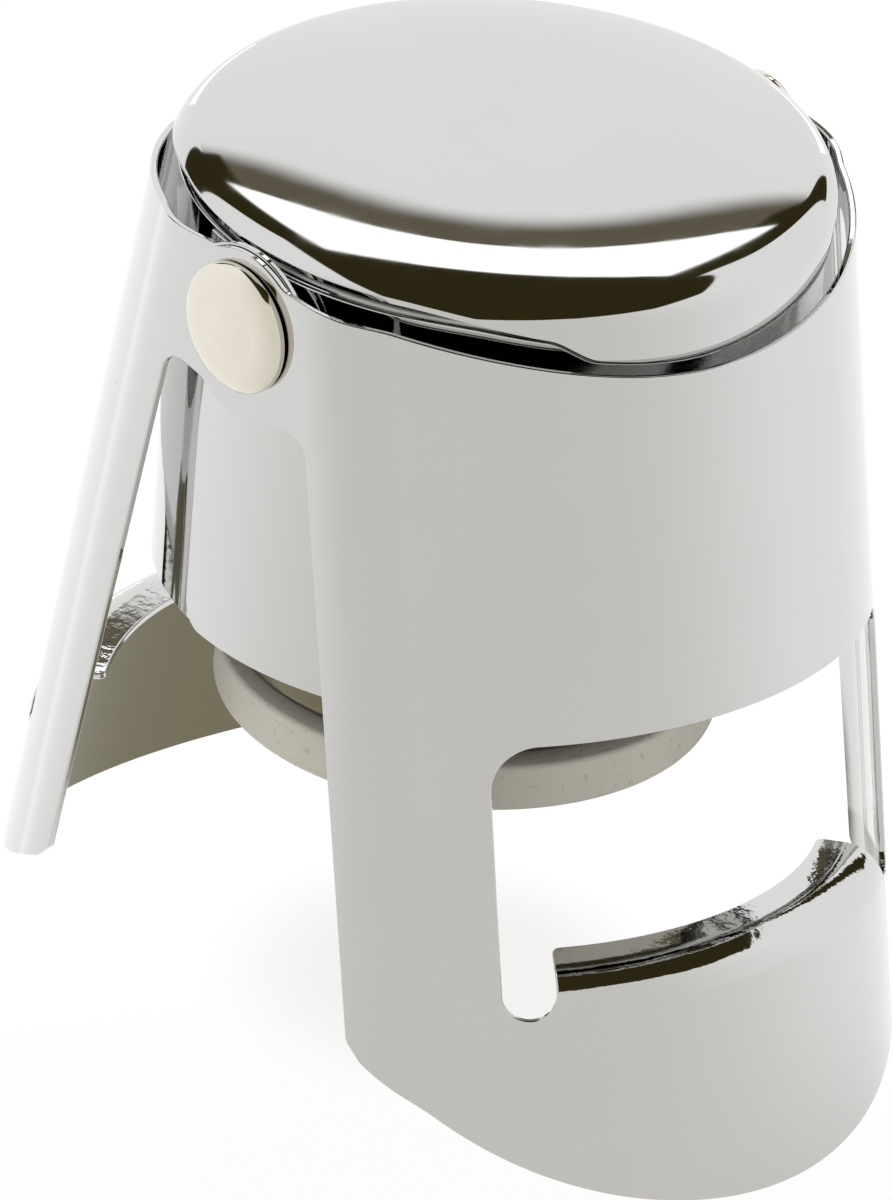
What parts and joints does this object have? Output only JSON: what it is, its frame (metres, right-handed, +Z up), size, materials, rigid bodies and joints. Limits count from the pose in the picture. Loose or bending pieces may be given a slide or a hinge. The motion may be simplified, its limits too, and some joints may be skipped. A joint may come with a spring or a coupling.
{
  "type": "champagne stopper",
  "caption": "Chromed cap stopper with two hooked hinged wings that grip a bottle's ring and a sprung rubber seal.",
  "frame": {"origin": "on the body's upright axis, level with the lowest points of the two open wings", "axes": "+Z up along the body's axis, Y along the hinge axis with the front rivet at -Y, +X towards the right wing"},
  "size_m": [0.0594, 0.0434, 0.057],
  "materials": {
    "chrome": "mirror-bright chrome plate",
    "plain_steel": "plain bright steel",
    "warm_nickel": "warm nickel plate, satin",
    "beige_rubber": "matt rubber"
  },
  "bodies": {
    "body": {"body_sleeve": "chrome", "dome_cap": "chrome", "inner_cup": "plain_steel", "guide_ring": "plain_steel", "plunger_spring": "plain_steel", "front_rivet": "warm_nickel", "rear_rivet": "warm_nickel", "front_washer": "plain_steel", "rear_washer": "plain_steel"},
    "right_wing": {"right_wing": "chrome"},
    "left_wing": {"left_wing": "chrome"},
    "plunger": {"plunger": "chrome", "seal": "beige_rubber"}
  },
  "joints": [
    {"name": "right_wing_hinge", "type": "hinge", "parent": "body", "child": "right_wing", "pos_m": [0, 0, 0.0507], "axis": [0, -1, 0], "range_deg": [-12.5, 14]},
    {"name": "left_wing_hinge", "type": "hinge", "parent": "body", "child": "left_wing", "pos_m": [0, 0, 0.0507], "axis": [0, 1, 0], "range_deg": [-12.5, 14]},
    {"name": "plunger_slide", "type": "slide", "parent": "body", "child": "plunger", "axis": [0, 0, 1], "range_m": [0, 0.0063], "stiffness_N_per_m": 1500, "springref_m": -0.006, "deforming": ["plunger_spring"]}
  ]
}
